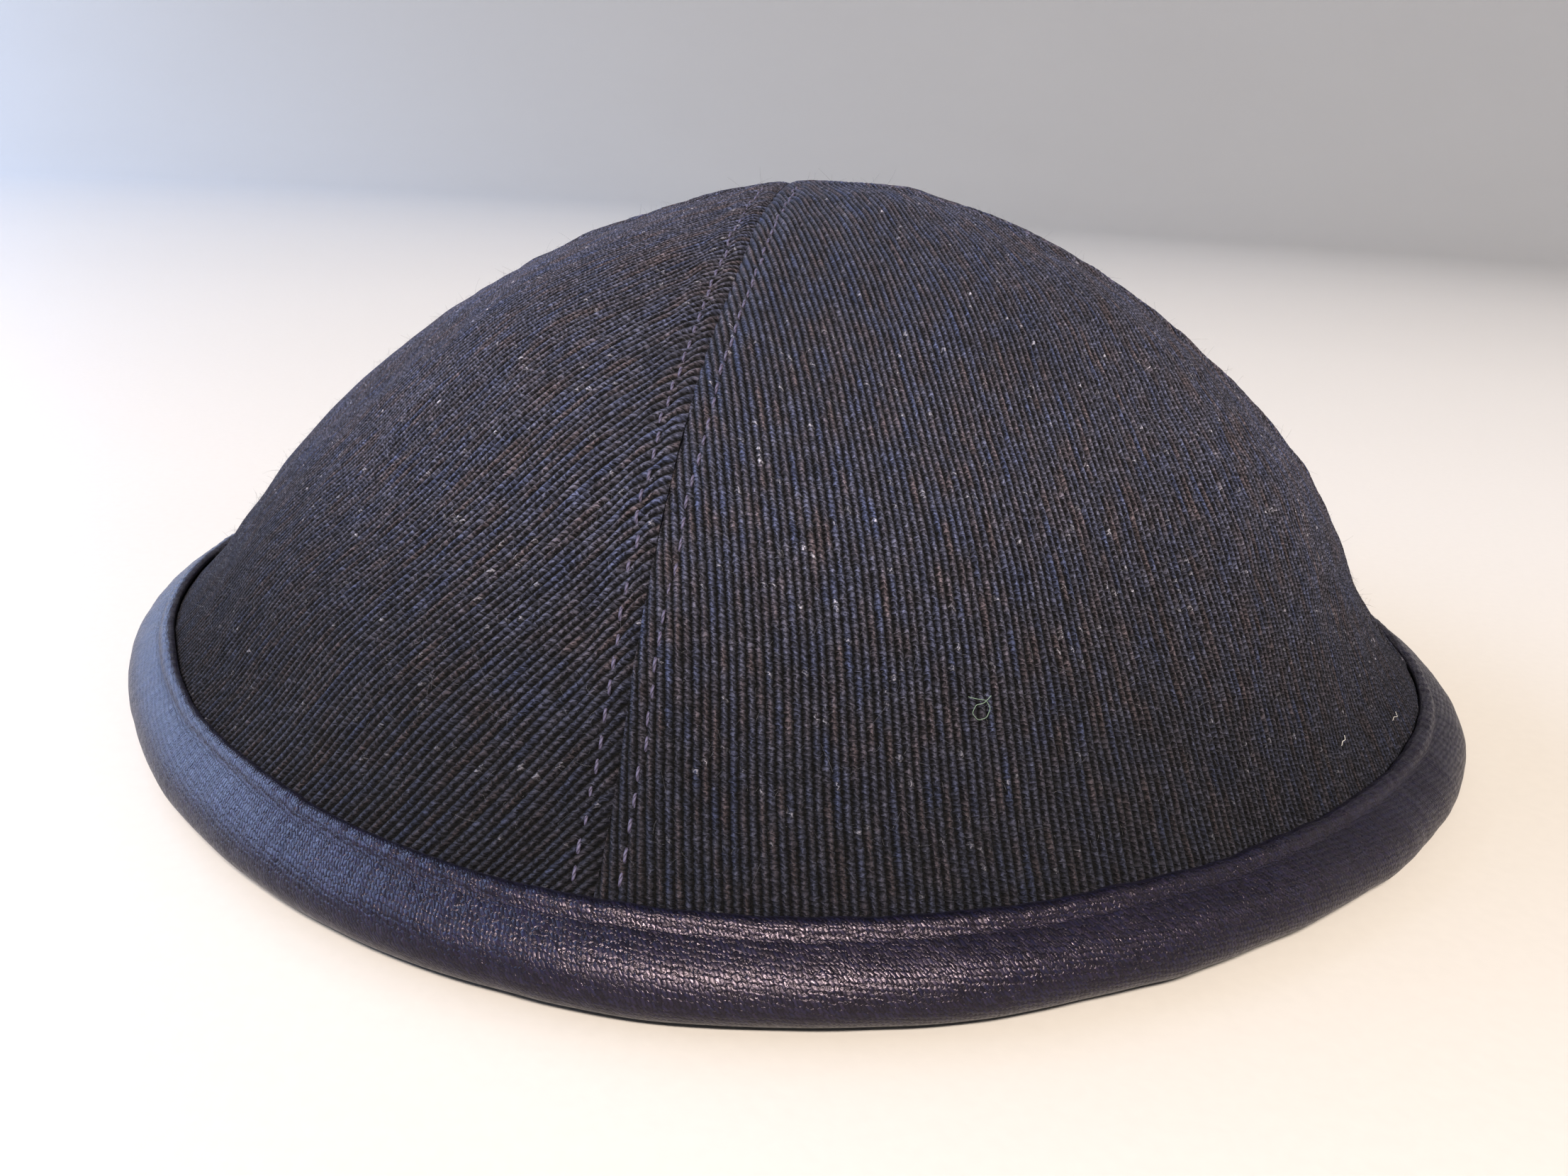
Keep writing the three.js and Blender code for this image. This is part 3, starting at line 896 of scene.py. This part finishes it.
def strip_lift(calm, turn, key, reach, height):
    """How far the strip's face stands out from its calm section: the stitched groove, its beat in
    the lip and the band below, soft ripples and slanted drag lines."""
    groove = bell(key - GROOVE_KEY, GROOVE["spread"])
    groove = groove + bell(key - INNER_GROOVE_KEY, GROOVE["spread"])
    free = np.clip((HIDDEN_KEY - key) / 2, 0, 1) * np.clip(height / RIPPLE_FOOT, 0, 1)
    strengths = 1 + BEAT_VARIATION * rng.normal(size=EDGE_STITCHES)
    stitch = turn * EDGE_STITCHES
    beat = np.cos(2 * math.pi * stitch) * np.interp(stitch, np.arange(EDGE_STITCHES), strengths)
    lift = -groove * (GROOVE["depth"] + GROOVE["beat"] * beat)
    lift = lift + LIP["beat"] * bell(key - LIP["key"], LIP["spread"]) * beat
    lift = lift - UPPER_BAND["beat"] * bell(key - UPPER_BAND["key"], UPPER_BAND["spread"]) * beat
    lift = lift + free * ripples(calm, STRIP_RIPPLES)
    sway = DRAG["sway"] * ripple(calm, DRAG["sway_apart"], DRAG["seed"])
    drag = np.sin(2 * math.pi * (turn * DRAG["lines"] - reach / DRAG["slant"]) + sway)
    return lift + DRAG["height"] * free * bell(key - DRAG["key"], DRAG["spread"]) * drag


def binding(material):
    """The bias strip round the rim: a closed section swept round, with a pucker at each stitch."""
    section, key, reach = smooth_loop(SECTION, SECTION_POINTS)
    turn = np.arange(BINDING_STEPS)[:, None] / BINDING_STEPS
    azimuth = 360 * turn
    after = np.roll(section, -1, 0) - np.roll(section, 1, 0)
    out = unit(np.stack([after[:, 1], -after[:, 0]], -1))
    calm = place(section[None, :, 0], section[None, :, 1], azimuth)
    lift = strip_lift(calm, turn, key, reach, section[:, 1])
    slide = ripples(calm[:, :1], SLIDES) * bell(key - LIP["key"], LIP["slide_spread"])
    radius = section[:, 0] + out[:, 0] * lift - SLIDE_IN * slide
    height = np.maximum(0, section[:, 1] + out[:, 1] * lift + SLIDE_UP * slide)
    points = place(radius, height, azimuth).reshape(-1, 3)
    uvs = np.stack(np.broadcast_arrays(turn * STRIP_LENGTH, reach), -1).reshape(-1, 2)
    faces = grid_faces(BINDING_STEPS, SECTION_POINTS, True, True)[:, ::-1]
    piece = build_mesh("satin_binding", points, faces, uvs)
    return finish_piece(piece, material, "binding_satin", "rim_binding")


def edge_stitches(face, key, slope, material):
    """The row of machine stitches in a groove of the binding. slope is its outward direction."""
    radius, height = SECTION[key]
    pitch = 360 / EDGE_STITCHES
    centre = pitch * (np.arange(EDGE_STITCHES) + 0.5)
    centre = centre + rng.normal(0, EDGE_STITCH_SCATTER, EDGE_STITCHES)
    reach = pitch * EDGE_STITCH["length"] / EDGE_STITCH["pitch"] / 2
    starts, ends = (place(radius, height, centre + way * reach) for way in (-1, 1))
    angle = np.radians(centre)
    upward = np.full(EDGE_STITCHES, slope[1])
    normals = np.stack([slope[0] * np.cos(angle), slope[0] * np.sin(angle), upward], -1)
    return stitches(f"edge_stitches_{face}", starts, ends, normals, EDGE_STITCH, material,
                    "sewing_thread", f"binding_stitch_{face}")


# ---------------------------------------------------------------- fibres

def fibres(name, roots, directions, normals, lengths, material, slot):
    """Fine curved hairs: each starts at a root and bends towards a random side."""
    count = len(roots)
    share = np.linspace(0, 1, FIBRE_RINGS)
    reach = lengths[:, None, None]
    squared = share[None, :, None] ** 2
    bend = rng.normal(0, 1, (count, 3))
    line = roots[:, None] + directions[:, None] * (share[None, :, None] * reach)
    line = line + bend[:, None] * (FUZZ_CURL * reach * squared)
    line = line - normals[:, None] * (FUZZ_SAG * reach * squared)
    side = unit(np.cross(directions, normals))
    over = np.cross(side, directions)
    thin = FUZZ_RADIUS * (1 - FUZZ_TAPER * share)
    points = rings_round(line, side[:, None], over[:, None], thin, FIBRE_SIDES)
    size = FIBRE_RINGS * FIBRE_SIDES
    quads = grid_faces(FIBRE_RINGS, FIBRE_SIDES, wrap_rows=True)
    ends = [[2, 1, 0], [size - 3, size - 2, size - 1]]
    faces = np.concatenate([quads[:, [0, 1, 2]], quads[:, [0, 2, 3]], ends])
    piece = build_mesh(name, points.reshape(-1, 3), repeated(faces, count, size))
    return finish_piece(piece, material, slot)


def fuzz(index, count, material):
    """Loose wool fibres standing from one gore."""
    up = GORE_LENGTH * rng.uniform(*FUZZ_BAND, count * 3)
    keep = rng.uniform(0, 1, len(up)) < half_width(up) / TABLE_HALF.max()
    up = up[keep][:count]
    x = rng.uniform(-1, 1, len(up)) * (half_width(up) - FUZZ_EDGE)
    middle = gore_middle(index)
    roots = gore_point(x, up, FUZZ_DEPTH, middle)
    normals = gore_normals(x, up, middle)
    tangent = unit(np.cross(normals, rng.normal(size=normals.shape)))
    tilt = np.radians(rng.uniform(*FUZZ_TILTS, len(up)))[:, None]
    directions = tangent * np.cos(tilt) + normals * np.sin(tilt)
    lengths = rng.exponential(FUZZ_LENGTH["mean"], len(up)) + FUZZ_LENGTH["least"]
    lengths = np.clip(lengths, 0, FUZZ_LENGTH["most"])
    name = f"suiting_fuzz_{QUARTERS[index]}"
    return fibres(name, roots, directions, normals, lengths, material, "ribbed_suiting")


def lint(name, azimuth, step, path, radius, material):
    """One stray thread lying on the cloth, along points (across, up, lift) from a point of it."""
    path = np.array(path, float)
    spread = np.linspace(0, len(path) - 1, LINT_SAMPLES * len(path))
    sampled = [np.interp(spread, np.arange(len(path)), path[:, axis]) for axis in range(3)]
    soft = np.hanning(2 * LINT_SOFTENING + 1)
    soft = soft / soft.sum()
    across, up, lift = (np.convolve(np.pad(values, LINT_SOFTENING, "edge"), soft, "valid")
                        for values in sampled)
    base = np.interp(-step, -TABLE_STEP, TABLE_UP)
    steps = np.interp(base + up, TABLE_UP, TABLE_STEP)
    turn = azimuth + np.degrees(across / np.interp(base, TABLE_UP, TABLE_POINT[:, 0]))
    line = wall_point(steps, CLOTH_DEPTH - RIB_HEIGHT - lift - radius, turn)
    tangent = unit(np.gradient(line, axis=0))
    outward = normals_of(lambda step, turn, depth: wall_point(step, depth, turn), steps, turn)
    side = unit(np.cross(tangent, outward))
    points = rings_round(line, side, np.cross(side, tangent), radius, THREAD_SIDES)
    piece = build_mesh(name, points.reshape(-1, 3), thread_faces(len(line)))
    return finish_piece(piece, material, "ribbed_suiting")


# ---------------------------------------------------------------- stage

def add_camera():
    """The camera of a hand-held close view: in front, a little above the cap, slightly rolled."""
    yaw, pitch, roll = (math.radians(CAMERA_TURN[way]) for way in ("yaw", "pitch", "roll"))
    level = Vector((math.cos(yaw), -math.sin(yaw), 0))
    ahead = Vector((math.sin(yaw), math.cos(yaw), 0))
    forward = ahead * math.cos(pitch) - Vector((0, 0, math.sin(pitch)))
    upward = level.cross(forward)
    right = level * math.cos(roll) + upward * math.sin(roll)
    above = upward * math.cos(roll) - level * math.sin(roll)
    data = bpy.data.cameras.new("camera")
    data.sensor_width = CAMERA_SENSOR
    data.lens = CAMERA_LENS
    data.clip_start, data.clip_end = CAMERA_CLIP
    camera = bpy.data.objects.new("camera", data)
    turn = Matrix((right, above, -forward)).transposed().to_4x4()
    camera.matrix_world = Matrix.Translation(Vector(CAMERA_PLACE) * MM) @ turn
    bpy.context.scene.collection.objects.link(camera)
    bpy.context.scene.camera = camera


def add_light(name, location, size, watts, colour):
    data = bpy.data.lights.new(name, "AREA")
    data.shape = "RECTANGLE"
    data.size, data.size_y = size
    data.energy = watts
    data.color = colour
    light = bpy.data.objects.new(name, data)
    light.location = location
    towards = Vector(LIGHT_TARGET) - Vector(location)
    light.rotation_euler = towards.to_track_quat("-Z", "Y").to_euler()
    bpy.context.scene.collection.objects.link(light)


def add_floor():
    """A pale table that sweeps up far away all round."""
    flat, bend, around = BOWL["flat"], BOWL["bend"], BOWL["around"]
    turn = np.linspace(0, math.pi / 2, BOWL["rows"])
    radius = np.concatenate([[BOWL["centre"]], flat + bend * np.sin(turn), [flat + bend]])
    height = np.concatenate([[0], bend - bend * np.cos(turn), [BOWL["top"]]])
    angle = 2 * math.pi * np.arange(around)[:, None] / around
    points = np.broadcast_arrays(radius * np.cos(angle), radius * np.sin(angle), height)
    points = np.stack(points, -1).reshape(-1, 3)
    floor = build_mesh("pale_floor", points, grid_faces(around, len(radius), wrap_columns=True))
    floor.data.materials.append(floor_material())


def add_stage():
    """The floor, the lights and a faint sky."""
    add_floor()
    for light in LIGHTS:
        add_light(*light)
    world = bpy.data.worlds.new("studio")
    world.use_nodes = True
    background = world.node_tree.nodes["Background"]
    background.inputs[0].default_value = (*SKY_COLOUR, 1)
    background.inputs[1].default_value = SKY_STRENGTH
    scene = bpy.context.scene
    scene.world = world
    scene.view_settings.view_transform = "Standard"
    scene.view_settings.gamma = GAMMA


# ---------------------------------------------------------------- the cap

def make_lint(index):
    """The stray threads, which all lie on the front right gore."""
    if QUARTERS[index] != "front_right":
        return []
    green = fibre_material("green_lint", GREEN_LINT)
    pale = fibre_material("white_lint", WHITE_LINT)
    return [lint(name, *where, pale if "white" in name else green) for name, where in LINT.items()]


def make_cap():
    suiting = suiting_material()
    lining = lining_material()
    stiff = interlining_material()
    satin = satin_material()
    topstitch = thread_material("topstitch_thread", TOPSTITCH_LILAC, 0.08)
    sewing = thread_material("sewing_thread", SEWING_NAVY, 0.1)
    fibre = fibre_material("suiting_fibres", FUZZ_COLOURS)
    for index, quarter in enumerate(QUARTERS):
        cloth = outer_gore(index, suiting)
        loose = [fuzz(index, FUZZ_COUNT, fibre), *make_lint(index)]
        stiffener = inner_gore(index, "stiffener", "interlining_gore", STIFFENER, stiff,
                               "interlining")
        inside = inner_gore(index, "lining", "lining_gore", LINING, lining, "lining_cloth")
        for way in (1, -1):
            topstitches(index, way, topstitch)
        joining_stitches(index, "outer", OUTER_JOIN_DEPTH, sewing)
        joining_stitches(index, "lining", LINING_JOIN_DEPTH, sewing)
    strip = binding(satin)
    edge_stitches("outside", GROOVE_KEY, OUTER_GROOVE_SLOPE, sewing)
    edge_stitches("inside", INNER_GROOVE_KEY, INNER_GROOVE_SLOPE, sewing)


add_camera()
add_stage()
make_cap()
